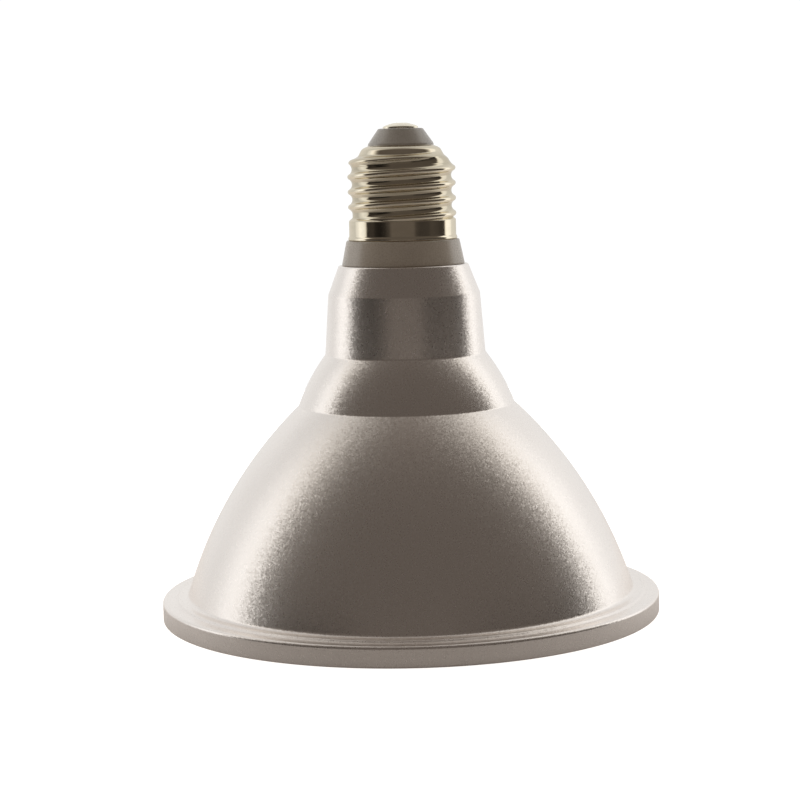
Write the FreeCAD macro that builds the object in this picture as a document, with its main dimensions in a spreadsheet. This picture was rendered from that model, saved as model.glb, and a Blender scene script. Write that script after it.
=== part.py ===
import FreeCAD, Part
import math
import os
import re
import Sketcher

# Reflector spotlight bulb with a screw cap, standing on its front rim with the cap up.
# Millimetres. Z is the lamp's axis. The origin is the centre of the rim's front face.

Vector = FreeCAD.Vector
FULL_TURN = 360
TINY = 1e-6

# Driving dimensions. Radii are about a piece's own axis.
DIMENSIONS = {
    # housing, outside
    "rim_radius": 61.0,
    "rim_wall": 3.6,
    "rim_web": 0.95,
    "rim_edge": 0.5,
    "rim_foot_edge": 0.3,
    "rim_land": 3.8,
    "step_height": 0.5,
    "foot_land": 1.9,
    "foot_fillet": 0.9,
    "bell_arc_radius": 105.0,
    "bell_height": 45.9,
    "dome_arc_radius": 48.0,
    "dome_spread": 6.9,
    "dome_height": 12.45,
    "neck_taper": 1.07,
    "neck_height": 14.5,
    "cone_height": 7.05,
    "cone_land": 1.95,
    "cone_edge": 0.35,
    # housing, inside
    "housing_wall": 2.0,
    "top_web": 2.0,
    "sleeve_gap": 2.68,
    # front glass and its seal
    "lens_thickness": 3.0,
    "lens_recess": 0.6,
    "lens_edge": 0.4,
    "seal_edge": 0.6,
    "seal_thickness": 0.4,
    "seal_width": 3.6,
    # plate that carries the light source, hung below the crease
    "carrier_drop": 4.85,
    "carrier_thickness": 2.2,
    "carrier_seat": 1.16,
    "carrier_ledge": 2.4,
    "carrier_edge": 0.3,
    "pad_thickness": 0.5,
    "pad_margin": 0.5,
    # light source
    "light_board_thickness": 1.6,
    "emitter_side": 3.0,
    "emitter_height": 0.7,
    "emitter_margin": 1.2,
    "inner_ring_radius": 7.5,
    "ring_spacing": 5.0,
    "inner_ring_count": 6,
    "outer_ring_count": 12,
    # reflector
    "reflector_clearance": 1.8,
    "reflector_wall": 1.2,
    "reflector_flange": 1.6,
    "facet_count": 24,
    "facet_rows": 6,
    # screws that hold the light board
    "screw_radius": 1.5,
    "screw_clearance": 0.39,
    "screw_land": 2.9,
    "screw_count": 3,
    "screw_head_radius": 2.6,
    "screw_head_height": 1.5,
    "recess_width": 0.7,
    "recess_length": 2.9,
    "recess_depth": 0.8,
    # grommet in the plate's wire hole
    "grommet_gap": 0.4,
    "bush_wall": 2.1,
    "grommet_lip": 1.6,
    "grommet_lip_height": 0.8,
    # insulating cup
    "sleeve_wall": 1.5,
    "guide_depth": 0.45,
    "collar_ledge": 1.15,
    "collar_land": 0.47,
    "collar_height": 6.0,
    "seat_drop": 0.7,
    "tenon_gap": 0.2,
    "tenon_wall": 1.4,
    "slot_width": 1.6,
    "slot_depth": 1.7,
    # screw shell
    "skirt_radius": 13.0,
    "skirt_height": 5.1,
    "lip_roll": 0.25,
    "lip_height": 0.5,
    "shell_sheet": 0.35,
    "root_depth": 0.9,
    "root_run": 0.6,
    "crest_rise": 0.15,
    "crest_width": 0.8,
    "ridge_width": 2.7,
    "thread_pitch": 3.629,
    "thread_turns": 4.0,
    "thread_entry": 0.1,
    "thread_exit": 0.816,
    "thread_start_angle": 126.0,
    "shoulder_arc_radius": 9.0,
    "shoulder_rise": 4.2,
    "shell_mouth_lip": 0.55,
    # insulator and centre contact
    "flange_drop": 1.1,
    "flange_gap": 0.15,
    "plug_flange_height": 0.9,
    "plug_radius": 7.95,
    "waist_drop": 0.7,
    "plug_step": 0.2,
    "plug_tip_radius": 5.4,
    "plug_tip_rise": 3.6,
    "contact_land": 1.1,
    "contact_recess": 0.3,
    "contact_rim": 0.5,
    "contact_rise": 1.2,
    "stem_radius": 1.1,
    # driver board, and what it carries
    "board_thickness": 1.6,
    "board_lift": 1.0,
    "board_top_gap": 1.85,
    "parts_gap": 0.24,
    "core_width": 14.0,
    "core_height": 12.0,
    "core_depth": 5.0,
    "core_leg": 2.0,
    "core_post": 3.2,
    "core_rise": 8.0,
    "coil_gap": 0.4,
    "coil_depth": 9.0,
    "can_radius": 4.0,
    "can_length": 14.0,
    "can_bead": 0.35,
    "can_rise": 4.0,
    "film_width": 9.0,
    "film_height": 9.0,
    "film_depth": 5.0,
    "film_start": 0.9,
    "film_lift": 4.5,
    "choke_radius": 3.6,
    "choke_waist": 2.9,
    "choke_height": 6.5,
    "choke_flange": 0.9,
    "choke_start": 2.4,
    "choke_lift": 9.0,
    "bridge_width": 4.6,
    "bridge_length": 4.0,
    "bridge_depth": 2.2,
    "bridge_offset": 6.0,
    "bridge_rise": 30.0,
    "switch_width": 3.9,
    "switch_length": 4.9,
    "switch_depth": 1.5,
    "switch_offset": 5.0,
    "switch_lift": 0.05,
    "pin_reach": 1.0,
    "pin_width": 0.45,
    "pin_height": 0.3,
    "pin_pitch": 1.27,
    "fuse_radius": 1.7,
    "fuse_length": 7.0,
    "fuse_cap": 1.3,
    "fuse_offset": 7.0,
    "fuse_lift": 4.05,
    # leads
    "lead_radius": 0.6,
    "lead_bend": 2.0,
    "contact_lead_offset": 4.0,
    "shell_lead_offset": 6.0,
    "light_lead_bend": 1.1,
    "light_lead_overlap": 2.5,
    "light_lead_reach": 7.6,
    # clearances between pieces that fit
    "slip_gap": 0.1,
    "seat_gap": 0.05,
    # how far a cut runs past the piece
    "cut_margin": 1.0,
}

# Sizes and places that follow from the driving dimensions, in the order in which they are worked out.
# Heights are above the rim's front face, except where a piece's own zero is named.
WORKED_OUT = {
    # rim
    "lens_bore": "rim_radius - rim_wall",
    "lens_radius": "lens_bore - seal_edge",
    "lens_top": "lens_recess + lens_thickness",
    "lens_seat": "lens_top + seal_thickness",
    "rim_height": "lens_seat + rim_web",
    "step_radius": "rim_radius - rim_land",
    "foot_radius": "step_radius - step_height - foot_land",
    "foot_height": "rim_height + step_height",
    # sleeve: its bore clears the corners of the film capacitor, the choke and the winding
    "board_side": "board_thickness / 2",
    "coil_width": "core_width - 2 * core_leg - 2 * coil_gap",
    "film_reach": "sqrt((film_start + film_width) ^ 2 + (board_side + film_depth) ^ 2)",
    "choke_reach": "sqrt((choke_start + 2 * choke_radius) ^ 2 + (board_side + choke_height) ^ 2)",
    "coil_reach": "sqrt((coil_width / 2) ^ 2 + (board_side + coil_depth) ^ 2)",
    "sleeve_bore": "max(film_reach; choke_reach; coil_reach) + parts_gap",
    "sleeve_radius": "sleeve_bore + sleeve_wall",
    "board_width": "2 * (sleeve_bore + guide_depth)",
    # housing above the rim
    "neck_top_radius": "sleeve_radius + sleeve_gap + housing_wall",
    "neck_base_radius": "neck_top_radius + neck_taper",
    "crease_radius": "neck_base_radius + dome_spread",
    "cone_top_radius": "sleeve_radius + cone_land",
    "crease_height": "foot_height + bell_height",
    "neck_base_height": "crease_height + dome_height",
    "neck_top_height": "neck_base_height + neck_height",
    "housing_height": "neck_top_height + cone_height",
    # the bell arc's centre, and the wall's inner face where the plate seats in it
    "bell_chord": "sqrt((foot_radius - crease_radius) ^ 2 + bell_height ^ 2)",
    "bell_reach": "sqrt(bell_arc_radius ^ 2 - (bell_chord / 2) ^ 2)",
    "bell_centre_across": "(foot_radius + crease_radius) / 2 - bell_height * bell_reach / bell_chord",
    "bell_centre_drop": "(foot_radius - crease_radius) * bell_reach / bell_chord",
    "bell_centre_height": "(foot_height + crease_height) / 2 - bell_centre_drop",
    "carrier_height": "crease_height - carrier_drop",
    "carrier_seat_rise": "carrier_height - carrier_seat - bell_centre_height",
    "bell_bore_radius": "bell_arc_radius - housing_wall",
    "carrier_bore": "bell_centre_across + sqrt(bell_bore_radius ^ 2 - carrier_seat_rise ^ 2)",
    "carrier_radius": "carrier_bore - slip_gap",
    # plate, pad and light board, from the top down
    "carrier_base": "carrier_height - carrier_thickness",
    "light_board_top": "carrier_base - pad_thickness",
    "light_board_face": "light_board_top - light_board_thickness",
    "board_stack": "carrier_thickness + pad_thickness + light_board_thickness",
    "outer_ring_radius": "inner_ring_radius + ring_spacing",
    # reflector, and the screws that clear it
    "reflector_rise": "light_board_face - lens_top",
    "reflector_mouth_radius": "lens_bore - seal_width - reflector_clearance - reflector_flange",
    "reflector_rear_radius": "outer_ring_radius + emitter_side / 2 + emitter_margin",
    "reflector_spread": "(reflector_mouth_radius ^ 2 - reflector_rear_radius ^ 2) / reflector_rise",
    "bowl_at_screws": "sqrt(reflector_rear_radius ^ 2 + screw_head_height * reflector_spread)",
    "screw_circle": "bowl_at_screws + reflector_wall + screw_head_radius + screw_clearance",
    "light_board_radius": "screw_circle + screw_land",
    # grommet
    "grommet_bore": "board_side + 2 * lead_radius + grommet_gap",
    "wire_hole_radius": "grommet_bore + bush_wall + slip_gap",
    "grommet_lip_radius": "wire_hole_radius + grommet_lip",
    # screw shell, heights above the collar's top
    "lip_radius": "skirt_radius + lip_roll",
    "thread_root_radius": "skirt_radius - root_depth",
    "thread_crest_radius": "skirt_radius + crest_rise",
    "thread_start": "skirt_height - thread_entry",
    "shoulder_height": "thread_start + thread_pitch * thread_turns - thread_exit",
    "shell_height": "shoulder_height + shoulder_rise",
    "shell_top_radius": "plug_radius + shell_mouth_lip",
    # cup, with its seat's and its tenon's heights above the collar's top
    "collar_base_radius": "sleeve_radius + collar_ledge",
    "collar_top_radius": "lip_radius + collar_land",
    "seat_height": "skirt_height - seat_drop",
    "tenon_radius": "thread_root_radius - shell_sheet - tenon_gap",
    "tenon_height": "shoulder_height - flange_drop",
    "sleeve_depth": "housing_height - carrier_height",
    "collar_top": "housing_height + collar_height",
    "tenon_top": "collar_top + tenon_height",
    # insulator and centre contact, heights above the tenon
    "plug_flange_radius": "tenon_radius - flange_gap",
    "plug_waist_height": "shoulder_rise + flange_drop - waist_drop",
    "plug_shoulder_height": "shoulder_rise + flange_drop + plug_step",
    "plug_height": "plug_shoulder_height + plug_tip_rise",
    "contact_radius": "plug_tip_radius - contact_land",
    # driver board, with the heights of what it carries above its foot
    "board_length": "sleeve_depth - board_lift - board_top_gap",
    "driver_base": "carrier_height + board_lift",
    "driver_top": "driver_base + board_length",
    "film_offset": "film_start + film_width / 2",
    "film_rise": "core_rise + core_height + film_lift",
    "choke_offset": "choke_start + choke_radius",
    "choke_rise": "core_rise + core_height + choke_lift",
    "switch_rise": "can_rise + can_length + switch_length / 2 + switch_lift",
    "fuse_rise": "switch_rise + switch_length / 2 + fuse_lift",
}

doc = FreeCAD.newDocument("spotlight_bulb")
sheet = doc.addObject("Spreadsheet::Sheet", "Dimensions")
formulas = {name: "=" + formula for name, formula in WORKED_OUT.items()}
for row, (name, content) in enumerate({**DIMENSIONS, **formulas}.items(), start=1):
    sheet.set(f"A{row}", name)
    sheet.setAlias(f"B{row}", name)
    sheet.set(f"B{row}", str(content))
doc.recompute()

PARTS = []


def bound(text):
    """The same expression, with each dimension's name pointing at its cell."""
    return re.sub(r"[a-z]+(?:_[a-z]+)+", lambda name: "Dimensions." + name.group(0), text)


def value(text):
    """What an expression comes to now."""
    answer = sheet.evalExpression(bound(text))
    return float(getattr(answer, "Value", answer))


def bind(item, **sizes):
    """Ties properties of an object to expressions."""
    for name, text in sizes.items():
        item.setExpression(name, bound(text))


def new_body(name, across="0", deep="0", up="0"):
    """A sub-part's body, with the place of its own zero in the lamp's frame."""
    body = doc.addObject("PartDesign::Body", name)
    body.Label = name
    body.AllowCompound = True
    for axis, text in (("x", across), ("y", deep), ("z", up)):
        body.setExpression("Placement.Base." + axis, bound(text))
    PARTS.append(body)
    return body


def new_sketch(body, name, role="XZ_Plane", lift=None, turn=None):
    """A sketch on one of the body's own planes, lifted off it or turned about the upright axis."""
    sketch = body.newObject("Sketcher::SketchObject", name)
    plane = [feature for feature in body.Origin.OriginFeatures if feature.Role == role][0]
    sketch.AttachmentSupport = (plane, [""])
    sketch.MapMode = "FlatFace"
    if lift:
        sketch.setExpression("AttachmentOffset.Base.z", bound(lift))
    if turn:
        sketch.AttachmentOffset = FreeCAD.Placement(Vector(), FreeCAD.Rotation(Vector(0, 1, 0), value(turn)))
    return sketch


def hold_point(sketch, geometry, end, across, up):
    """Holds a point at two expressions from the sketch's origin. One that starts with about is left free."""
    for kind, text, axis in (("DistanceX", across, -2), ("DistanceY", up, -1)):
        if text.startswith("about "):
            continue
        if abs(value(text)) < TINY:
            sketch.addConstraint(Sketcher.Constraint("PointOnObject", geometry, end, axis))
            continue
        row = sketch.addConstraint(Sketcher.Constraint(kind, -1, 1, geometry, end, value(text)))
        sketch.setExpression(f"Constraints[{row}]", bound(text))


def arc_between(start, end, radius):
    """The short arc between two points, turning left for a positive radius and right for a negative one."""
    if radius < 0:
        start, end = end, start
    chord = end - start
    middle = (start + end) / 2
    left = Vector(-chord.y, chord.x, 0).normalize()
    centre = middle + left * math.sqrt(max(radius * radius - chord.Length ** 2 / 4, 0))
    first = math.atan2(start.y - centre.y, start.x - centre.x)
    last = math.atan2(end.y - centre.y, end.x - centre.x)
    return Part.ArcOfCircle(Part.Circle(centre, Vector(0, 0, 1), abs(radius)), first, last)


def draw_outline(sketch, points):
    """A closed outline. A point is (across, up), or (across, up, radius, side) where an arc leaves it."""
    places = [Vector(*(value(text.replace("about ", "")) for text in point[:2]), 0) for point in points]
    ends = []
    first = sketch.GeometryCount
    for number, point in enumerate(points):
        here = places[number]
        there = places[(number + 1) % len(points)]
        if len(point) == 2:
            geometry = sketch.addGeometry(Part.LineSegment(here, there))
            ends.append((1, 2))
            continue
        radius, side = point[2:]
        geometry = sketch.addGeometry(arc_between(here, there, side * value(radius)))
        ends.append((1, 2) if side > 0 else (2, 1))
        row = sketch.addConstraint(Sketcher.Constraint("Radius", geometry, value(radius)))
        sketch.setExpression(f"Constraints[{row}]", bound(radius))
    for number, point in enumerate(points):
        before = (number - 1) % len(points)
        joint = (first + before, ends[before][1], first + number, ends[number][0])
        sketch.addConstraint(Sketcher.Constraint("Coincident", *joint))
        hold_point(sketch, first + number, ends[number][0], *point[:2])


def draw_rectangle(sketch, left, bottom, right, top):
    draw_outline(sketch, [(left, bottom), (right, bottom), (right, top), (left, top)])


def draw_block(sketch, wide, high):
    """A rectangle about the sketch's origin."""
    draw_rectangle(sketch, f"-{wide} / 2", f"-{high} / 2", f"{wide} / 2", f"{high} / 2")


def draw_circle(sketch, across, up, radius):
    centre = Vector(value(across), value(up), 0)
    geometry = sketch.addGeometry(Part.Circle(centre, Vector(0, 0, 1), value(radius)))
    row = sketch.addConstraint(Sketcher.Constraint("Radius", geometry, value(radius)))
    sketch.setExpression(f"Constraints[{row}]", bound(radius))
    hold_point(sketch, geometry, 3, across, up)


def revolve(body, name, points, cut=False, role="XZ_Plane"):
    """A closed outline turned about the upright axis of its sketch."""
    sketch = new_sketch(body, name + "_outline", role)
    draw_outline(sketch, points)
    feature = body.newObject("PartDesign::Groove" if cut else "PartDesign::Revolution", name)
    feature.Profile = (sketch, [""])
    feature.ReferenceAxis = (sketch, ["V_Axis"])
    feature.Angle = FULL_TURN
    return sketch, feature


def extrude(body, name, sketch, length, cut=False, back=False, both_ways=False):
    """A sketch pushed out of its plane, or cut through what is already there."""
    feature = body.newObject("PartDesign::Pocket" if cut else "PartDesign::Pad", name)
    feature.Profile = (sketch, [""])
    feature.Reversed = back
    if both_ways:
        feature.SideType = "Symmetric"
    bind(feature, Length=length)
    return feature


def ring_of(body, name, feature, sketch, count):
    """Copies of a feature all round the sketch's own normal through its origin."""
    pattern = body.newObject("PartDesign::PolarPattern", name)
    pattern.Originals = [feature]
    pattern.Axis = (sketch, ["N_Axis"])
    pattern.Angle = FULL_TURN
    bind(pattern, Occurrences=count)
    body.Tip = pattern
    return pattern


# Housing: one thin bell with a foot flange, a creased shoulder, a neck and a coned top
def make_housing():
    body = new_body("housing")
    sleeve_hole = "sleeve_radius + slip_gap"
    points = [
        ("lens_bore", "0"),
        ("rim_radius - rim_foot_edge", "0"),
        ("rim_radius", "rim_foot_edge"),
        ("rim_radius", "rim_height - rim_edge"),
        ("rim_radius - rim_edge", "rim_height"),
        ("step_radius", "rim_height"),
        ("step_radius - step_height", "rim_height + step_height"),
        ("foot_radius", "rim_height + step_height", "bell_arc_radius", 1),
        ("crease_radius", "crease_height", "dome_arc_radius", 1),
        ("neck_base_radius", "neck_base_height"),
        ("neck_top_radius", "neck_top_height"),
        ("cone_top_radius", "housing_height - cone_edge"),
        ("cone_top_radius - cone_edge", "housing_height"),
        (sleeve_hole, "housing_height"),
        (sleeve_hole, "housing_height - top_web"),
        ("neck_top_radius - housing_wall", "neck_top_height"),
        ("neck_base_radius - housing_wall", "neck_base_height", "dome_arc_radius - housing_wall", -1),
        ("crease_radius - housing_wall", "crease_height"),
        ("carrier_bore - carrier_ledge", "carrier_height"),
        ("carrier_bore", "carrier_height"),
        ("carrier_bore", "about carrier_height - carrier_seat", "bell_bore_radius", -1),
        ("about foot_radius - housing_wall / 2", "lens_seat"),
        ("lens_bore", "lens_seat"),
    ]
    sketch = new_sketch(body, "bell_outline")
    draw_outline(sketch, points)
    outer_arc = [number for number, point in enumerate(points) if point[2:3] == ("bell_arc_radius",)][0]
    inner_arc = [number for number, point in enumerate(points) if "about" in point[1]][0]
    sketch.addConstraint(Sketcher.Constraint("Coincident", outer_arc, 3, inner_arc, 3))
    bell = body.newObject("PartDesign::Revolution", "bell")
    bell.Profile = (sketch, [""])
    bell.ReferenceAxis = (sketch, ["V_Axis"])
    bell.Angle = FULL_TURN
    doc.recompute()
    foot = [
        f"Edge{number}"
        for number, edge in enumerate(bell.Shape.Edges, start=1)
        if hasattr(edge.Curve, "Radius")
        and abs(edge.Curve.Radius - value("foot_radius")) < TINY
        and abs(edge.Curve.Center.z - value("rim_height + step_height")) < TINY
    ]
    fillet = body.newObject("PartDesign::Fillet", "foot_fillet")
    fillet.Base = (bell, foot)
    bind(fillet, Radius="foot_fillet")


# Front glass: a thick flat disc with ground edges
def make_front_lens():
    body = new_body("front_lens", up="lens_recess")
    revolve(body, "disc", [
        ("0", "0"),
        ("lens_radius - lens_edge", "0"),
        ("lens_radius", "lens_edge"),
        ("lens_radius", "lens_thickness - lens_edge"),
        ("lens_radius - lens_edge", "lens_thickness"),
        ("0", "lens_thickness"),
    ])


# Seal: an angle ring that wraps the glass's edge and lies between it and the rim's ledge
def make_lens_seal():
    body = new_body("lens_seal", up="lens_recess")
    revolve(body, "angle_ring", [
        ("lens_radius + seat_gap", "0"),
        ("lens_bore - seat_gap", "0"),
        ("lens_bore - seat_gap", "lens_thickness + seal_thickness"),
        ("lens_bore - seal_width", "lens_thickness + seal_thickness"),
        ("lens_bore - seal_width", "lens_thickness"),
        ("lens_radius + seat_gap", "lens_thickness"),
    ])


def draw_polygon(sketch, radius, sides):
    """A regular polygon about the sketch's origin, with a corner on its first axis."""
    angles = [f"{number} * {FULL_TURN}deg / {sides}" for number in range(round(value(sides)))]
    draw_outline(sketch, [(f"({radius}) * cos({angle})", f"({radius}) * sin({angle})") for angle in angles])


def loft_rows(body, name, extra, kind):
    """Flat facets through polygons that shrink up a parabola, from the mouth to the rear."""
    mouth = "reflector_mouth_radius"
    rear = "reflector_rear_radius"
    rows = round(value("facet_rows"))
    sketches = []
    for row in range(rows + 1):
        radius = f"({mouth} - ({mouth} - {rear}) * {row} / facet_rows)"
        height = f"({mouth} ^ 2 - {radius} ^ 2) / reflector_spread"
        sketches.append(new_sketch(body, f"{name}_row", "XY_Plane", lift=height))
        draw_polygon(sketches[-1], f"{radius} + {extra}", "facet_count")
    loft = body.newObject(kind, name)
    loft.Profile = (sketches[0], [""])
    loft.Sections = [(sketch, [""]) for sketch in sketches[1:]]
    loft.Ruled = True
    return loft


# Reflector: a faceted parabolic bowl between the glass, where its flange lies, and the light board
def make_reflector():
    body = new_body("reflector", up="lens_top")
    sketch = new_sketch(body, "flange_outline", "XY_Plane")
    draw_circle(sketch, "0", "0", "reflector_mouth_radius + reflector_flange")
    extrude(body, "flange", sketch, "reflector_wall")
    loft_rows(body, "bowl", "reflector_wall", "PartDesign::AdditiveLoft")
    loft_rows(body, "hollow", "0", "PartDesign::SubtractiveLoft")


# Carrier: an aluminium plate pressed against the ledge under the shoulder
def make_carrier():
    body = new_body("led_carrier", up="carrier_base")
    revolve(body, "plate", [
        ("wire_hole_radius", "0"),
        ("carrier_radius - carrier_edge", "0"),
        ("carrier_radius", "carrier_edge"),
        ("carrier_radius", "carrier_thickness"),
        ("wire_hole_radius", "carrier_thickness"),
    ])
    drill_screw_holes(body, "screw_radius + seat_gap", "carrier_thickness")


def drill_screw_holes(body, radius, depth):
    """Round holes on the screws' circle, from the body's own zero upwards."""
    sketch = new_sketch(body, "screw_hole_outline", "XY_Plane")
    draw_circle(sketch, "screw_circle", "0", radius)
    hole = extrude(body, "screw_hole", sketch, depth, cut=True, back=True)
    ring_of(body, "screw_holes", hole, sketch, "screw_count")


# Thermal pad: a soft sheet between the plate and the light board
def make_thermal_pad():
    body = new_body("thermal_pad", up="light_board_top")
    sketch = new_sketch(body, "sheet_outline", "XY_Plane")
    draw_circle(sketch, "0", "0", "light_board_radius - pad_margin")
    draw_circle(sketch, "0", "0", "wire_hole_radius")
    extrude(body, "soft_sheet", sketch, "pad_thickness")
    drill_screw_holes(body, "screw_radius + slip_gap", "pad_thickness")


# Light board: a round metal-core board whose lower face carries the emitters
def make_light_board():
    body = new_body("led_board", up="light_board_face")
    sketch = new_sketch(body, "board_outline", "XY_Plane")
    draw_circle(sketch, "0", "0", "light_board_radius")
    draw_circle(sketch, "0", "0", "wire_hole_radius")
    extrude(body, "board", sketch, "light_board_thickness")
    drill_screw_holes(body, "screw_radius + slip_gap", "light_board_thickness")


# Emitters: two rings of square packages that hang from the light board
def make_emitters():
    body = new_body("led_chips", up="light_board_face - emitter_height")
    half = "emitter_side / 2"
    for ring in ("inner", "outer"):
        sketch = new_sketch(body, f"{ring}_outline", "XY_Plane")
        place = f"{ring}_ring_radius"
        draw_rectangle(sketch, f"{place} - {half}", f"-{half}", f"{place} + {half}", half)
        package = extrude(body, f"{ring}_package", sketch, "emitter_height")
        ring_of(body, f"{ring}_ring", package, sketch, f"{ring}_ring_count")


# Screws: pan heads under the light board, shanks up through board and pad into the plate
def make_board_screws():
    body = new_body("board_screws", up="light_board_face - screw_head_height")
    head = new_sketch(body, "head_outline", "XY_Plane")
    draw_circle(head, "screw_circle", "0", "screw_head_radius")
    extrude_head = extrude(body, "head", head, "screw_head_height")
    shank = new_sketch(body, "shank_outline", "XY_Plane")
    draw_circle(shank, "screw_circle", "0", "screw_radius")
    extrude_shank = extrude(body, "shank", shank, "screw_head_height + board_stack")
    slots = []
    for name, wide, high in (
        ("slot_across", "recess_length / 2", "recess_width / 2"),
        ("slot_along", "recess_width / 2", "recess_length / 2"),
    ):
        slot = new_sketch(body, name + "_outline", "XY_Plane")
        draw_rectangle(slot, f"screw_circle - {wide}", f"-{high}", f"screw_circle + {wide}", high)
        slots.append(extrude(body, name, slot, "recess_depth", cut=True, back=True))
    pattern = ring_of(body, "screws", extrude_head, head, "screw_count")
    pattern.Originals = [extrude_head, extrude_shank, *slots]


# Grommet: a flanged bush that lines the wire hole through plate, pad and light board
def make_grommet():
    body = new_body("lead_grommet", up="light_board_face")
    bush = "wire_hole_radius - slip_gap"
    revolve(body, "bush", [
        ("grommet_bore", "0"),
        (bush, "0"),
        (bush, "board_stack"),
        ("grommet_lip_radius", "board_stack"),
        ("grommet_lip_radius", "board_stack + grommet_lip_height"),
        ("grommet_bore", "board_stack + grommet_lip_height"),
    ])


# Insulating cup: sleeve down the neck, coned collar on the housing's top, tenon up inside the screw shell
def make_driver_cup():
    body = new_body("driver_cup", up="housing_height")
    seat = "skirt_radius - shell_sheet - slip_gap"
    tenon_bore = "tenon_radius - tenon_wall"
    tenon_end = "collar_height + tenon_height"
    revolve(body, "cup", [
        ("sleeve_bore", "-sleeve_depth"),
        ("sleeve_radius", "-sleeve_depth"),
        ("sleeve_radius", "0"),
        ("collar_base_radius", "0"),
        ("collar_top_radius", "collar_height"),
        (seat, "collar_height"),
        (seat, "collar_height + seat_height"),
        ("tenon_radius", "collar_height + seat_height"),
        ("tenon_radius", tenon_end),
        (tenon_bore, tenon_end),
        (tenon_bore, "collar_height"),
        ("sleeve_bore", "collar_height / 2"),
    ])
    grooves = new_sketch(body, "guide_outline", "XY_Plane", lift="-sleeve_depth")
    reach = "board_width / 2 + slip_gap"
    gap = "board_side + slip_gap"
    draw_rectangle(grooves, f"-({reach})", f"-({gap})", reach, gap)
    extrude(body, "board_guides", grooves, "board_lift + board_length + slip_gap", cut=True, back=True)
    slot = new_sketch(body, "slot_outline", "XY_Plane", lift=tenon_end)
    draw_rectangle(slot, "0", "-slot_width / 2", "tenon_radius + slip_gap", "slot_width / 2")
    extrude(body, "lead_slot", slot, "slot_depth", cut=True)


# Screw shell: rolled sheet with a lipped skirt, a right-hand knuckle thread and a domed shoulder
def make_screw_shell():
    body = new_body("screw_shell", up="collar_top")
    revolve(body, "blank", [
        ("0", "0"),
        ("lip_radius", "0"),
        ("lip_radius", "lip_height"),
        ("skirt_radius", "2 * lip_height"),
        ("skirt_radius", "skirt_height"),
        ("thread_root_radius", "skirt_height + root_run"),
        ("thread_root_radius", "shoulder_height", "shoulder_arc_radius", 1),
        ("shell_top_radius", "shell_height"),
        ("0", "shell_height"),
    ])
    doc.recompute()
    ridge_outline = new_sketch(body, "ridge_outline", turn="thread_start_angle")
    buried = "thread_root_radius - shell_sheet / 2"
    draw_outline(ridge_outline, [
        (buried, "thread_start - ridge_width / 2"),
        ("thread_crest_radius", "thread_start - crest_width / 2"),
        ("thread_crest_radius", "thread_start + crest_width / 2"),
        (buried, "thread_start + ridge_width / 2"),
    ])
    ridge = body.newObject("PartDesign::AdditiveHelix", "ridge")
    ridge.Profile = (ridge_outline, [""])
    ridge.ReferenceAxis = (ridge_outline, ["V_Axis"])
    ridge.Mode = "pitch-turns-angle"
    bind(ridge, Pitch="thread_pitch", Turns="thread_turns")
    doc.recompute()
    outside = "thread_crest_radius + cut_margin"
    revolve(body, "thread_entry", [
        ("skirt_radius", "0"),
        (outside, "0"),
        (outside, "skirt_height + root_run"),
        ("skirt_radius", "skirt_height"),
    ], cut=True)
    inner_root = "thread_root_radius - shell_sheet"
    revolve(body, "inside", [
        ("0", "-cut_margin"),
        ("skirt_radius - shell_sheet", "-cut_margin"),
        ("skirt_radius - shell_sheet", "skirt_height"),
        (inner_root, "skirt_height + root_run"),
        (inner_root, "shoulder_height", "shoulder_arc_radius - shell_sheet", 1),
        ("shell_top_radius - shell_sheet", "shell_height - shell_sheet"),
        ("plug_radius + slip_gap", "shell_height - shell_sheet"),
        ("plug_radius + slip_gap", "shell_height + cut_margin"),
        ("0", "shell_height + cut_margin"),
    ], cut=True)


# Insulator: a plug whose flange is trapped under the shoulder and whose tip stands out of it
def make_insulator():
    body = new_body("cap_insulator", up="tenon_top")
    stem_hole = "stem_radius + slip_gap"
    recess = "contact_radius + slip_gap"
    revolve(body, "plug", [
        (stem_hole, "0"),
        ("plug_flange_radius", "0"),
        ("plug_flange_radius", "plug_flange_height"),
        ("plug_radius", "plug_waist_height"),
        ("plug_radius", "plug_shoulder_height"),
        ("plug_tip_radius", "plug_height"),
        (recess, "plug_height"),
        (recess, "plug_height - contact_recess"),
        (stem_hole, "plug_height - contact_recess"),
    ])


# Centre contact: a shallow domed button on a stem
def make_centre_contact():
    body = new_body("centre_contact", up="tenon_top + plug_height - contact_recess")
    dome = "(contact_radius * contact_radius / contact_rise + contact_rise) / 2"
    stem_length = "(plug_height - contact_recess)"
    revolve(body, "button", [
        ("0", f"-{stem_length}"),
        ("stem_radius", f"-{stem_length}"),
        ("stem_radius", "0"),
        ("contact_radius", "0"),
        ("contact_radius", "contact_rim", dome, 1),
        ("0", "contact_rim + contact_rise"),
    ])


# Driver board: stands upright in the sleeve's two grooves
def make_driver_board():
    body = new_body("driver_board", up="driver_base")
    sketch = new_sketch(body, "board_outline")
    draw_rectangle(sketch, "-board_width / 2", "0", "board_width / 2", "board_length")
    extrude(body, "board", sketch, "board_thickness", both_ways=True)


# Transformer core: a figure-of-eight of ferrite with a centre post
def make_transformer_core():
    body = new_body(
        "transformer_core",
        deep="board_side + coil_depth / 2 + seat_gap",
        up="driver_base + core_rise",
    )
    sketch = new_sketch(body, "core_outline")
    draw_rectangle(sketch, "-core_width / 2", "0", "core_width / 2", "core_height")
    window = "core_width / 2 - core_leg"
    post = "core_post / 2"
    draw_rectangle(sketch, f"-({window})", "core_leg", f"-{post}", "core_height - core_leg")
    draw_rectangle(sketch, post, "core_leg", window, "core_height - core_leg")
    extrude(body, "core", sketch, "core_depth", both_ways=True)


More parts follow.
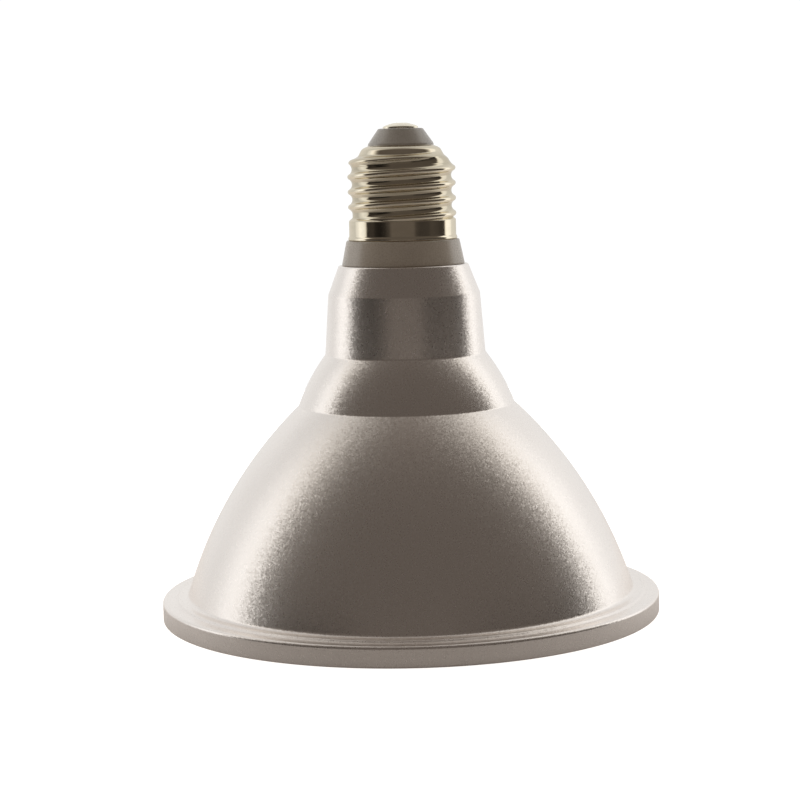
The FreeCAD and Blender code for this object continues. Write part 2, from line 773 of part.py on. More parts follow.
# Winding: a square coil round the core's post, as deep as its bobbin
def make_transformer_winding():
    body = new_body(
        "transformer_winding",
        deep="board_side + coil_depth / 2 + seat_gap",
        up="driver_base + core_rise + core_leg + seat_gap",
    )
    sketch = new_sketch(body, "coil_outline", "XY_Plane")
    draw_rectangle(sketch, "-coil_width / 2", "-coil_depth / 2", "coil_width / 2", "coil_depth / 2")
    bore_width = "core_post / 2 + slip_gap"
    bore_depth = "core_depth / 2 + slip_gap"
    draw_rectangle(sketch, f"-({bore_width})", f"-({bore_depth})", bore_width, bore_depth)
    extrude(body, "coil", sketch, "core_height - 2 * core_leg - 2 * seat_gap")


# Output capacitor: an upright can with a rolled bead near its foot
def make_output_capacitor():
    body = new_body(
        "output_capacitor",
        deep="-(board_side + can_radius + seat_gap)",
        up="driver_base + can_rise",
    )
    revolve(body, "can", [
        ("0", "0"),
        ("can_radius", "0"),
        ("can_radius", "can_radius / 2"),
        ("can_radius - can_bead", "can_radius / 2 + can_bead"),
        ("can_radius", "can_radius / 2 + 2 * can_bead"),
        ("can_radius", "can_length"),
        ("0", "can_length"),
    ])


# Film capacitor: a moulded box flat on the board
def make_film_capacitor():
    body = new_body("film_capacitor", across="film_offset", deep="board_side", up="driver_base + film_rise")
    sketch = new_sketch(body, "box_outline")
    draw_rectangle(sketch, "-film_width / 2", "0", "film_width / 2", "film_height")
    extrude(body, "box", sketch, "film_depth", back=True)


# Filter choke: a flanged drum standing out from the board
def make_filter_choke():
    body = new_body("filter_choke", across="-choke_offset", deep="board_side", up="driver_base + choke_rise")
    revolve(body, "drum", [
        ("0", "0"),
        ("choke_radius", "0"),
        ("choke_radius", "choke_flange"),
        ("choke_waist", "choke_flange"),
        ("choke_waist", "choke_height - choke_flange"),
        ("choke_radius", "choke_height - choke_flange"),
        ("choke_radius", "choke_height"),
        ("0", "choke_height"),
    ], role="XY_Plane")


def add_pins(body, half_width, count):
    """Flat pins out of both long sides of a package, evenly spaced up it."""
    sketch = new_sketch(body, "pin_outline")
    for number in range(count):
        middle = f"({number} - {(count - 1) / 2}) * pin_pitch"
        for side in ("-", ""):
            near = f"{side}({half_width})"
            far = f"{side}({half_width} + pin_reach)"
            left, right = (far, near) if side else (near, far)
            draw_rectangle(sketch, left, f"{middle} - pin_width / 2", right, f"{middle} + pin_width / 2")
    extrude(body, "pins", sketch, "pin_height")


# Bridge rectifier: a flat moulded block with four pins
def make_bridge_rectifier():
    body = new_body(
        "bridge_rectifier",
        across="-bridge_offset",
        deep="-board_side",
        up="driver_base + bridge_rise",
    )
    sketch = new_sketch(body, "block_outline")
    draw_block(sketch, "bridge_width", "bridge_length")
    extrude(body, "block", sketch, "bridge_depth")
    add_pins(body, "bridge_width / 2", 2)


# Driver chip: an eight-pin package
def make_driver_chip():
    body = new_body(
        "driver_chip",
        across="switch_offset",
        deep="-board_side",
        up="driver_base + switch_rise",
    )
    sketch = new_sketch(body, "block_outline")
    draw_block(sketch, "switch_width", "switch_length")
    extrude(body, "block", sketch, "switch_depth")
    add_pins(body, "switch_width / 2", 4)


# Fuse resistor: a barrel with swollen end caps
def make_fuse_resistor():
    body = new_body(
        "fuse_resistor",
        across="fuse_offset",
        deep="-(board_side + fuse_radius + seat_gap)",
        up="driver_base + fuse_rise",
    )
    revolve(body, "barrel", [
        ("0", "0"),
        ("fuse_radius", "0"),
        ("fuse_radius", "fuse_cap"),
        ("fuse_radius - slip_gap", "fuse_cap + slip_gap"),
        ("fuse_radius - slip_gap", "fuse_length - fuse_cap - slip_gap"),
        ("fuse_radius", "fuse_length - fuse_cap"),
        ("fuse_radius", "fuse_length"),
        ("0", "fuse_length"),
    ])


def wire_along(corners, radius, bend):
    """A round wire along straight runs joined by tangent arcs."""
    edges = []
    start = corners[0]
    for before, corner, after in zip(corners, corners[1:], corners[2:]):
        arriving = (corner - before).normalize()
        leaving = (after - corner).normalize()
        setback = bend * math.tan(arriving.getAngle(leaving) / 2)
        arc_start = corner - arriving * setback
        arc_end = corner + leaving * setback
        towards_centre = (leaving - arriving).normalize()
        centre = corner + towards_centre * math.hypot(bend, setback)
        edges.append(Part.makeLine(start, arc_start))
        edges.append(Part.Arc(arc_start, centre - towards_centre * bend, arc_end).toShape())
        start = arc_end
    edges.append(Part.makeLine(start, corners[-1]))
    ring = Part.Wire(Part.makeCircle(radius, corners[0], corners[1] - corners[0]))
    return Part.Wire(edges).makePipeShell([ring], True, True)


def add_leads(name, routes, up, bend="lead_bend"):
    """Wires as one node, placed at a height on the lamp's axis."""
    radius = value("lead_radius")
    bend = value(bend)
    wires = [wire_along([Vector(*corner) for corner in route], radius, bend) for route in routes]
    leads = doc.addObject("Part::Feature", name)
    leads.Label = name
    leads.Shape = wires[0] if len(wires) == 1 else Part.makeCompound(wires)
    leads.Placement = FreeCAD.Placement(Vector(0, 0, value(up)), FreeCAD.Rotation())
    PARTS.append(leads)


# Contact lead: from the foot of the contact's stem to the driver board's top edge
def make_contact_lead():
    rise = value("tenon_top - driver_top")
    offset = value("contact_lead_offset")
    route = [(-offset, 0, 0), (-offset, 0, rise / 3), (0, 0, rise * 2 / 3), (0, 0, rise)]
    add_leads("contact_lead", [route], "driver_top")


# Shell lead: up the tenon's bore and out through its slot to the shell
def make_shell_lead():
    rise = value("tenon_top - slot_depth + lead_radius + seat_gap - driver_top")
    offset = value("shell_lead_offset")
    reach = value("thread_root_radius - shell_sheet - seat_gap")
    add_leads("shell_lead", [[(offset, 0, 0), (offset, 0, rise), (reach, 0, rise)]], "driver_top")


# Light leads: a pair off the faces of the driver board, down the grommet and out along the light board
def make_light_leads():
    foot = "light_board_face - lead_radius - seat_gap"
    start = value(f"driver_base + light_lead_overlap - ({foot})")
    offset = value("board_side + lead_radius")
    reach = value("light_lead_reach")
    routes = [[(0, side * offset, start), (0, side * offset, 0), (0, side * reach, 0)] for side in (-1, 1)]
    add_leads("light_leads", routes, foot, "light_lead_bend")


def main():
    make_housing()
    make_front_lens()
    make_lens_seal()
    make_reflector()
    make_carrier()
    make_thermal_pad()
    make_light_board()
    make_emitters()
    make_board_screws()
    make_grommet()
    make_driver_cup()
    make_screw_shell()
    make_insulator()
    make_centre_contact()
    make_driver_board()
    make_transformer_core()
    make_transformer_winding()
    make_output_capacitor()
    make_film_capacitor()
    make_filter_choke()
    make_bridge_rectifier()
    make_driver_chip()
    make_fuse_resistor()
    make_contact_lead()
    make_shell_lead()
    make_light_leads()
    doc.recompute()
    for item in doc.Objects:
        if "Invalid" in item.State or "Error" in item.State:
            raise RuntimeError(f"{item.Name} did not build: {item.State}")
    for part in PARTS:
        if part.Shape.isNull() or not part.Shape.isValid() or not part.Shape.Solids:
            raise RuntimeError(f"{part.Label} has no sound solid")
    os.makedirs("parts", exist_ok=True)
    for part in PARTS:
        part.Shape.exportStep(os.path.join("parts", part.Label + ".step"))
        print(part.Label, len(part.Shape.Solids), round(part.Shape.Volume, 1))


main()
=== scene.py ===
import math

import bpy
import numpy as np
from mathutils import Matrix, Vector


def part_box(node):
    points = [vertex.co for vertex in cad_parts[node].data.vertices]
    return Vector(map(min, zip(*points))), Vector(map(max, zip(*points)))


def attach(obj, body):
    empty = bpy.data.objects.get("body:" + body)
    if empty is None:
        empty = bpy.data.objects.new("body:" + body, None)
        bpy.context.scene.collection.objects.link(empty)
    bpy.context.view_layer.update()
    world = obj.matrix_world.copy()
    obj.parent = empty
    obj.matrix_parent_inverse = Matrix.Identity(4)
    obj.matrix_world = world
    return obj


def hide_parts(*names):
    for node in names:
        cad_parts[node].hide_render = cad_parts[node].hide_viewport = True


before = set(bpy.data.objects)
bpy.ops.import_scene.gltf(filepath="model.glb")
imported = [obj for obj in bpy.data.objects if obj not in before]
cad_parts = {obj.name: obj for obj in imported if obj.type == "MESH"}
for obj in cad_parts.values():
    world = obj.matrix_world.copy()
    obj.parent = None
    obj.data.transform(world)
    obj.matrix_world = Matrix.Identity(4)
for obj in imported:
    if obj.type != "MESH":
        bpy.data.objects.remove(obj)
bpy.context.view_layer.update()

# Looks of a reflector spotlight bulb that stands on its front rim with its screw cap up.
# Metres in the lamp's frame: Z is its axis, and the rim's front face lies at zero.
MM = 0.001

# Sides of a turned piece, and the turn between two points of a rounding and of a long arc
AROUND = 288
ROUNDING_STEP = math.radians(7)
SIDE_STEP = math.radians(0.75)
# A side's own points keep that much further from a corner than its rounding reaches
CLEAR = 1.05
# A point of an outline nearer to the axis than this lies on it
ON_AXIS = 1e-7

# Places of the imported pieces, in millimetres
RIM_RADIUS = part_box("housing")[1].x / MM
HOUSING_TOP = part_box("housing")[1].z / MM
COLLAR_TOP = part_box("screw_shell")[0].z / MM
PLUG_FOOT, PLUG_TOP = (corner.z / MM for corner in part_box("cap_insulator"))
CONTACT_FOOT, CONTACT_TOP = (corner.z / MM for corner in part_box("centre_contact"))
LENS_LOW, LENS_HIGH = (corner.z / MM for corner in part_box("front_lens"))
LENS_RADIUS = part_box("front_lens")[1].x / MM
BOARD_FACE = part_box("led_board")[0].z / MM
EMITTER_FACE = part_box("led_chips")[0].z / MM


# Outlines: points and outward normals in the plane of radius and height
def unit(vector):
    return vector / np.linalg.norm(vector)


def turned(vector, angle):
    """The vector turned to its left by an angle."""
    c, s = math.cos(angle), math.sin(angle)
    return np.array([c * vector[0] - s * vector[1], s * vector[0] + c * vector[1]])


def segment_points(start, end, bulge):
    """A side's points and directions. It is straight, or an arc whose radius is the bulge.

    The arc turns left if the bulge is positive.
    """
    chord = end - start
    if not bulge:
        return [(start, unit(chord)), (end, unit(chord))]
    half = math.asin(min(1.0, np.linalg.norm(chord) / (2 * abs(bulge)))) * math.copysign(1, bulge)
    first = turned(unit(chord), -half)
    steps = max(4, math.ceil(abs(2 * half) / SIDE_STEP))
    found = []
    for number in range(steps + 1):
        angle = 2 * half * number / steps
        heading = turned(first, angle)
        place = start + bulge * (turned(first, angle - math.pi / 2) - turned(first, -math.pi / 2))
        found.append((place, heading))
    return found


def turn_between(before, after):
    """The angle from one direction to another."""
    return math.atan2(before[0] * after[1] - before[1] * after[0], float(before @ after))


def rounded_outline(corners):
    """Points and normals of an outline drawn anticlockwise, in metres, from corners in millimetres.

    A corner is (radius, height), and may go on with its rounding and then the bulge of the next side.
    """
    places = [np.array(corner[:2], float) for corner in corners]
    rounding = [corner[2] if len(corner) > 2 else 0.0 for corner in corners]
    bulges = [corner[3] if len(corner) > 3 else 0.0 for corner in corners]
    count = len(corners)
    sides = [
        segment_points(places[number], places[(number + 1) % count], bulges[number])
        for number in range(count)
    ]
    turns = [turn_between(sides[number - 1][-1][1], sides[number][0][1]) for number in range(count)]
    setbacks = [size * math.tan(abs(turn) / 2) for size, turn in zip(rounding, turns)]
    points, normals = [], []

    def add(place, heading):
        points.append(place * MM)
        normals.append(np.array([heading[1], -heading[0]]))

    for number in range(count):
        following = (number + 1) % count
        here, there = places[number], places[following]
        arriving = sides[number - 1][-1][1]
        radius = math.copysign(rounding[number], turns[number])
        steps = max(1, math.ceil(abs(turns[number]) / ROUNDING_STEP))
        for step in range(steps + 1):
            heading = turned(arriving, turns[number] * step / steps)
            offset = turned(heading, -math.pi / 2) - turned(arriving, -math.pi / 2)
            add(here - arriving * setbacks[number] + radius * offset, heading)
        # A side's own points, apart from those that the roundings at its ends take up
        for place, heading in sides[number][1:-1]:
            from_here, to_there = np.linalg.norm(place - here), np.linalg.norm(place - there)
            if from_here > setbacks[number] * CLEAR and to_there > setbacks[following] * CLEAR:
                add(place, heading)
    return np.array(points), np.array(normals)


# Meshes
def make_object(name, vertices, faces, normals=None):
    mesh = bpy.data.meshes.new(name)
    mesh.from_pydata([tuple(v) for v in vertices], [], [tuple(f) for f in faces])
    mesh.validate()
    mesh.polygons.foreach_set("use_smooth", [True] * len(mesh.polygons))
    if normals is not None:
        mesh.normals_split_custom_set_from_vertices([tuple(n) for n in normals])
    made = bpy.data.objects.new(name, mesh)
    bpy.context.scene.collection.objects.link(made)
    return made


def turned_solid(points, normals, around=AROUND):
    """Vertices, faces and normals of an outline turned about the axis. A point on it is one vertex."""
    vertices, shades, faces = [], [], []
    rings = []
    for (radius, height), (across, up) in zip(points, normals):
        if radius < ON_AXIS:
            if rings and len(rings[-1]) == 1:
                continue
            rings.append([len(vertices)])
            vertices.append((0.0, 0.0, height))
            shades.append((0.0, 0.0, math.copysign(1, up)))
            continue
        rings.append(list(range(len(vertices), len(vertices) + around)))
        for number in range(around):
            angle = math.tau * number / around
            c, s = math.cos(angle), math.sin(angle)
            vertices.append((radius * c, radius * s, height))
            shades.append((across * c, across * s, up))
    for lower, upper in zip(rings, rings[1:] + rings[:1]):
        if len(lower) == 1 and len(upper) == 1:
            continue
        for number in range(around):
            following = (number + 1) % around
            if len(lower) == 1:
                faces.append((lower[0], upper[following], upper[number]))
            elif len(upper) == 1:
                faces.append((lower[number], lower[following], upper[0]))
            else:
                faces.append((lower[number], lower[following], upper[following], upper[number]))
    return vertices, faces, shades


def lathe(name, corners, around=AROUND):
    """A closed outline turned about the lamp's axis. Corners are in millimetres."""
    points, normals = rounded_outline(corners)
    vertices, faces, shades = turned_solid(points, normals, around)
    return make_object(name, vertices, faces, shades)


def box_solid(low, high, bevel):
    """Vertices and faces of a box whose edges and corners are cut by a bevel."""
    vertices = []
    for x in (0, 1):
        for y in (0, 1):
            for z in (0, 1):
                corner = [(low, high)[n][axis] for axis, n in enumerate((x, y, z))]
                inward = [1 - 2 * n for n in (x, y, z)]
                for axis in range(3):
                    place = [corner[k] + inward[k] * bevel * (k != axis) for k in range(3)]
                    vertices.append(tuple(place))

    def at(x, y, z, axis):
        return (x * 4 + y * 2 + z) * 3 + axis

    faces = []
    for axis in range(3):
        for side in (0, 1):
            loop = []
            for a, b in ((0, 0), (1, 0), (1, 1), (0, 1)):
                bits = [0, 0, 0]
                bits[axis], bits[(axis + 1) % 3], bits[(axis + 2) % 3] = side, a, b
                loop.append(at(*bits, axis))
            faces.append(tuple(loop if side else reversed(loop)))
    for axis in range(3):
        second, third = (axis + 1) % 3, (axis + 2) % 3
        for a in (0, 1):
            for b in (0, 1):
                low_bits, high_bits = [0, 0, 0], [0, 0, 0]
                low_bits[axis], high_bits[axis] = 0, 1
                for bits in (low_bits, high_bits):
                    bits[second], bits[third] = a, b
                loop = [at(*low_bits, second), at(*high_bits, second)]
                loop += [at(*high_bits, third), at(*low_bits, third)]
                faces.append(tuple(reversed(loop) if a != b else loop))
    for x in (0, 1):
        for y in (0, 1):
            for z in (0, 1):
                loop = [at(x, y, z, axis) for axis in range(3)]
                faces.append(tuple(loop if (x + y + z) % 2 else reversed(loop)))
    return vertices, faces


def join_solids(solids):
    """One list of vertices and one of faces, from several."""
    vertices, faces = [], []
    for more, sides in solids:
        start = len(vertices)
        vertices += more
        faces += [tuple(start + corner for corner in side) for side in sides]
    return vertices, faces


def place_solid(solid, matrix):
    vertices, faces = solid
    return [tuple(matrix @ Vector(v)) for v in vertices], faces


def dress(mesh, material):
    """Gives a mesh one material, in each slot that it has."""
    if not mesh.materials:
        mesh.materials.append(material)
    for number in range(len(mesh.materials)):
        mesh.materials[number] = material


# Shader nodes
# Most of a noise's values lie between these two
MIDDLE = (0.3, 0.7)


class Nodes:
    """Short calls for the nodes of one tree."""

    def __init__(self, tree):
        self.tree = tree

    def add(self, kind):
        return self.tree.nodes.new(kind)

    def set(self, node, socket, value):
        """Sets a socket, or links it where the value is another node's output."""
        target = node.inputs[socket]
        if isinstance(value, bpy.types.NodeSocket):
            self.tree.links.new(value, target)
        elif target.type == "RGBA" and len(value) == 3:
            target.default_value = (*value, 1.0)
        else:
            target.default_value = value

    def set_all(self, node, values):
        for socket, value in values.items():
            self.set(node, socket, value)

    def math(self, operation, *values):
        node = self.add("ShaderNodeMath")
        node.operation = operation
        self.set_all(node, dict(enumerate(values)))
        return node.outputs["Value"]

    def vectors(self, operation, *values):
        node = self.add("ShaderNodeVectorMath")
        node.operation = operation
        self.set_all(node, dict(enumerate(values)))
        return node.outputs["Vector"]

    def mix(self, share, first, second, blend="MIX"):
        """Two colours, from the first to the second as the share goes from 0 to 1."""
        node = self.add("ShaderNodeMix")
        node.data_type = "RGBA"
        node.blend_type = blend
        self.set_all(node, {0: share, 6: first, 7: second})
        return node.outputs[2]

    def spread(self, source, low, high, start=MIDDLE[0], end=MIDDLE[1], smooth=False):
        """A source's values between start and end, drawn out to run from low to high."""
        node = self.add("ShaderNodeMapRange")
        node.interpolation_type = "SMOOTHSTEP" if smooth else "LINEAR"
        self.set_all(node, {
            "Value": source, "From Min": start, "From Max": end, "To Min": low, "To Max": high,
        })
        return node.outputs["Result"]

    def axes(self, source):
        """A vector's parts."""
        node = self.add("ShaderNodeSeparateXYZ")
        self.set(node, 0, source)
        return node.outputs


class Finish(Nodes):
    """A material, with short calls for what shapes its colour, roughness and bump."""

    def __init__(self, name, **sockets):
        self.material = bpy.data.materials.new(name)
        self.material.use_nodes = True
        super().__init__(self.material.node_tree)
        self.shader = self.tree.nodes["Principled BSDF"]
        self.wear(**sockets)
        self.place = self.add("ShaderNodeTexCoord").outputs["Object"]

    def wear(self, **sockets):
        """Sets or links the shader's own sockets."""
        for socket, value in sockets.items():
            self.set(self.shader, socket.replace("_", " "), value)

    def noise(self, size, detail=2.0, roughness=0.5, stretch=(1, 1, 1)):
        """Noise whose features are about that size in metres."""
        place = self.place
        if stretch != (1, 1, 1):
            mapping = self.add("ShaderNodeMapping")
            self.set_all(mapping, {"Scale": stretch, "Vector": place})
            place = mapping.outputs["Vector"]
        node = self.add("ShaderNodeTexNoise")
        self.set_all(node, {
            "Vector": place, "Scale": 1 / size, "Detail": detail, "Roughness": roughness,
        })
        return node.outputs["Fac"]

    def radius(self):
        """The distance from the lamp's axis, in metres."""
        squares = [self.math("MULTIPLY", part, part) for part in self.axes(self.place)[:2]]
        return self.math("POWER", self.math("ADD", *squares), 0.5)

    def height(self):
        """The height over the rim's front face, in metres."""
        return self.axes(self.place)["Z"]

    def tone(self, source, dark, light):
        """A colour that goes from dark to light over the middle of a source."""
        node = self.add("ShaderNodeValToRGB")
        for element, place, colour in zip(node.color_ramp.elements, MIDDLE, (dark, light)):
            element.position = place
            element.color = (*colour, 1)
        self.set(node, "Fac", source)
        return node.outputs["Color"]

    def bump(self, height, depth):
        """A bump that is that deep, in metres."""
        node = self.add("ShaderNodeBump")
        self.set_all(node, {"Distance": depth, "Height": height})
        return node.outputs["Normal"]

    def facets(self, size, tilt):
        """Normals that lean at random in each grain of that size, as far as the tilt."""
        cells = self.add("ShaderNodeTexVoronoi")
        self.set_all(cells, {"Scale": 1 / size, "Vector": self.place})
        lean = self.vectors("MULTIPLY_ADD", cells.outputs["Color"], (2 * tilt,) * 3, (-tilt,) * 3)
        normal = self.add("ShaderNodeNewGeometry").outputs["Normal"]
        return self.vectors("NORMALIZE", self.vectors("ADD", lean, normal))


def satin_metal():
    """Bead-blasted aluminium: a fine even grain that sparkles where light turns to dark."""
    finish = Finish("satin_aluminium", Metallic=1.0)
    grain = finish.noise(size=0.0004, detail=1.0, roughness=0.6)
    cloud = finish.noise(size=0.02)
    finish.wear(
        Base_Color=finish.tone(cloud, (0.94, 0.89, 0.85), (0.97, 0.92, 0.88)),
        Roughness=finish.spread(grain, 0.27, 0.31),
        Normal=finish.facets(size=0.00026, tilt=0.048),
    )
    return finish.material


# In metres: radii over which the painted shade in the thread's grooves fades out towards the crests,
# and heights over which that painted shade ends on the shoulder
GROOVE_SHADE_RADII = (0.0121, 0.0128)
GROOVE_SHADE_END_HEIGHTS = (0.1112, 0.1122)


def bright_nickel():
    """Rolled sheet with bright plating, darker between the thread's crests and on the shoulder's foot,
    where the darkening is painted shade.
    """
    finish = Finish("bright_nickel", Metallic=1.0, Specular_Tint=(0.86, 0.835, 0.79))
    smear = finish.noise(size=0.0035, detail=4.0, roughness=0.6, stretch=(1, 1, 3))
    ripple = finish.noise(size=0.003, detail=1.0)
    # The plating's own colour, and a darker copy of it that is painted shade for the grooves and the
    # shoulder's foot
    plain_plating = finish.tone(smear, (0.77, 0.705, 0.57), (0.83, 0.76, 0.615))
    painted_groove_shade = finish.tone(smear, (0.60, 0.545, 0.43), (0.66, 0.60, 0.475))
    groove_shade_share = finish.spread(finish.radius(), 1.0, 0.0, *GROOVE_SHADE_RADII)
    on_thread = finish.spread(finish.height(), 1.0, 0.0, *GROOVE_SHADE_END_HEIGHTS)
    finish.wear(
        Base_Color=finish.mix(finish.math("MULTIPLY", groove_shade_share, on_thread), plain_plating, painted_groove_shade),
        Roughness=finish.spread(smear, 0.07, 0.11),
        Normal=finish.bump(ripple, depth=0.000006),
    )
    return finish.material


# How far the roughness of plastic and of plain metal strays, and how deep their skin is
PLASTIC_SPREAD = 0.06
METAL_SPREAD = 0.08
SKIN_DEPTH = 0.00001


def moulded_plastic(name, dark, light, rough, grain=0.0003, ior=1.5):
    """Moulded plastic with a faint cloud in its colour and a fine spark-eroded skin."""
    finish = Finish(name, IOR=ior)
    cloud = finish.noise(size=0.006, detail=3.0)
    skin = finish.noise(size=grain)
    finish.wear(
        Base_Color=finish.tone(cloud, dark, light),
        Roughness=finish.spread(skin, rough - PLASTIC_SPREAD, rough + PLASTIC_SPREAD),
        Normal=finish.bump(skin, SKIN_DEPTH),
    )
    return finish.material


def plain_metal(name, dark, light, rough):
    """Bare metal with a faint stain and a fine grain."""
    finish = Finish(name, Metallic=1.0)
    stain = finish.noise(size=0.003, detail=3.0)
    skin = finish.noise(size=0.0006)
    finish.wear(
        Base_Color=finish.tone(stain, dark, light),
        Roughness=finish.spread(skin, rough - METAL_SPREAD, rough + METAL_SPREAD),
        Normal=finish.bump(skin, SKIN_DEPTH),
    )
    return finish.material


def clear_glass():
    """Clear pressed glass with the faint unevenness of its surface."""
    finish = Finish("clear_glass", IOR=1.47, Transmission_Weight=1.0, Base_Color=(0.97, 0.99, 0.98))
    sway = finish.noise(size=0.012, detail=1.0)
    haze = finish.noise(size=0.004)
    finish.wear(Roughness=finish.spread(haze, 0.01, 0.04), Normal=finish.bump(sway, depth=0.00003))
    return finish.material


def mirror_film():
    """Vacuum-metallised plastic."""
    finish = Finish("mirror_film", Metallic=1.0)
    haze = finish.noise(size=0.005, detail=3.0)
    orange_peel = finish.noise(size=0.0012, detail=1.0)
    finish.wear(
        Base_Color=finish.tone(haze, (0.86, 0.86, 0.86), (0.92, 0.92, 0.91)),
        Roughness=finish.spread(haze, 0.05, 0.11),
        Normal=finish.bump(orange_peel, depth=0.000012),
    )
    return finish.material


# Housing: the satin bell, with the small roundings that the blasting leaves
BORE_RADIUS = 57.4
# Places where the outline turns: the step from the rim to the foot flange, the bell's foot, the
# creased shoulder and the neck's two ends
STEP_FOOT = (57.7, 4.95)
STEP_TOP = (57.15, 5.45)
BELL_FOOT = (54.8, STEP_TOP[1])
CREASE = (26.45, 51.35)
NECK_FOOT = (19.55, 63.8)
NECK_TOP = (18.48, 78.3)
TOP_RADIUS = 15.75
MOUTH_RADIUS = 13.9
BELL_ARC = 105.0
SHOULDER_ARC = 48.0
WALL = 2.0
# Seat for the plate under the shoulder, down to which the collar's sleeve reaches
PLATE_SEAT = 46.5
PLATE_FOOT = 45.35
PLATE_RADIUS = 29.6
PLATE_LEDGE = 27.2
INSIDE_FOOT = (53.5, 4.0)


def make_housing():
    bell = lathe("bell", [
        (BORE_RADIUS, 0.0, 0.2),
        (RIM_RADIUS, 0.0, 0.45),
        (RIM_RADIUS, STEP_FOOT[1], 0.75),
        (*STEP_FOOT, 0.35),
        (*STEP_TOP, 0.35),
        (*BELL_FOOT, 1.1, BELL_ARC),
        (*CREASE, 0.8, SHOULDER_ARC),
        (*NECK_FOOT, 1.0),
        (*NECK_TOP, 0.7),
        (TOP_RADIUS, HOUSING_TOP, 0.45),
        (MOUTH_RADIUS, HOUSING_TOP, 0.15),
        # Inside, from the mouth down
        (MOUTH_RADIUS, HOUSING_TOP - WALL, 0.1),
        (NECK_TOP[0] - WALL, NECK_TOP[1], 0.5),
        (NECK_FOOT[0] - WALL, NECK_FOOT[1], 0.5, WALL - SHOULDER_ARC),
        (CREASE[0] - WALL, CREASE[1], 0.5),
        (PLATE_LEDGE, PLATE_SEAT, 0.1),
        (PLATE_RADIUS, PLATE_SEAT, 0.1),
        (PLATE_RADIUS, PLATE_FOOT, 0.1, WALL - BELL_ARC),
        (*INSIDE_FOOT, 0.1),
        (BORE_RADIUS, INSIDE_FOOT[1], 0.1),
    ])
    dress(bell.data, satin_metal())
    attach(bell, "root")
    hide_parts("housing")


# Screw shell: rolled knuckle thread that fades into the skirt and into the shoulder
THREAD_PITCH = 3.629
THREAD_ROOT = 12.05
THREAD_CREST = 13.12
CREST_ROUND = 0.68
CREST_AT_RIGHT = 97.6
SHEET = 0.35
# Turns along the thread, from the right-hand side, over which it rises from the skirt, and over
# which it fades on the shoulder
THREAD_RISES = (-0.5, -0.2)
THREAD_FALLS = (3.8, 3.97)
# Over its last crest the thread thins out between two shares of a reach, which is longer by the
# gain for each turn before the one given
LAST_CREST = 3
THINNING = (0.15, 1)
THINNING_REACH = 0.6
THINNING_GAIN = 5
THINNING_TURN = 3.75
# Skirt, and the heights round its top over which it draws in to the thread's root
SKIRT_RADIUS = 13.0
SKIRT_TOP = 96.3
SKIRT_FALLS = (-0.35, 0.75)
# How far over its top the skirt counts, and the width of its rounded change to the thread
SKIRT_REACH = 2
SKIRT_SOFTNESS = 0.12
# Lip at the skirt's foot, its edge curled in, and the heights over the collar where each ends
LIP, LIP_HEIGHTS = 0.25, (0.5, 1.15)
CURL, CURL_HEIGHTS = 0.22, (-0.05, 0.3)
# The shoulder's heights and radii, up to the mouth
DOME = (
    (109.3, 12.05), (109.9, 11.85), (110.4, 11.6), (110.8, 11.35), (111.2, 10.95),
    (111.55, 10.5), (111.8, 10.3), (112.4, 9.98), (113.0, 9.66), (113.25, 9.45),
    (113.5, 9.1), (113.7, 8.7), (113.85, 8.3), (114.0, 7.95), (114.4, 7.9),
)
DOME_SMOOTHING = 0.12
DOME_SAMPLES = 15
MOUTH_HEIGHT = 114.0
# Rows of points in the lip, in the skirt and over it, and how many of them there are to one inside
LIP_SPAN = 1.3
THREAD_START = SKIRT_TOP - 0.5
LIP_ROWS, SKIRT_ROWS, THREAD_ROWS = 13, 7, 220
INSIDE_STEP = 6


def knuckle(distance):
    """The thread's height over its root, at a distance along the axis from a crest.

    It is two arcs, one of the crest and one of the hollow, that meet smoothly.
    """
    depth = THREAD_CREST - THREAD_ROOT
    both = (THREAD_PITCH ** 2 / 4 / depth + depth) / 2
    valley = both - CREST_ROUND
    away = np.abs((distance + THREAD_PITCH / 2) % THREAD_PITCH - THREAD_PITCH / 2)
    meeting = THREAD_PITCH / 2 * CREST_ROUND / both
    crest = depth - CREST_ROUND + np.sqrt(np.maximum(CREST_ROUND ** 2 - away ** 2, 0))
    hollow = valley - np.sqrt(np.maximum(valley ** 2 - (THREAD_PITCH / 2 - away) ** 2, 0))
    return np.where(away < meeting, crest, hollow)


def soft_most(first, second, width):
    """The larger of two values, with a rounded change from one to the other."""
    share = np.clip(0.5 + (first - second) / (2 * width), 0, 1)
    return second + (first - second) * share + width * share * (1 - share)


def fade(value, start, end):
    """From 0 at start to 1 at end, smoothly."""
    share = np.clip((value - start) / (end - start), 0, 1)
    return share * share * (3 - 2 * share)


def dome_radius(height):
    """The shoulder's radius, smoothed between its stations."""
    stations = np.array(DOME)
    offsets = np.linspace(-DOME_SMOOTHING, DOME_SMOOTHING, DOME_SAMPLES)
    found = [np.interp(height + offset, stations[:, 0], stations[:, 1]) for offset in offsets]
    return np.mean(found, axis=0)


def thread_height(angle, height):
    """The thread's height over the body, with its run-out at both ends."""
    round_share = angle / math.tau
    crest_line = CREST_AT_RIGHT + THREAD_PITCH * angle / math.tau
    turns = np.round((height - crest_line) / THREAD_PITCH) + round_share
    share = fade(turns, *THREAD_RISES) * (1 - fade(turns, *THREAD_FALLS))
    last = CREST_AT_RIGHT + THREAD_PITCH * (LAST_CREST + round_share)
    reach = THINNING_REACH + THINNING_GAIN * np.maximum(THINNING_TURN - turns, 0)
    return knuckle(height - crest_line) * share * (1 - fade((height - last) / reach, *THINNING))


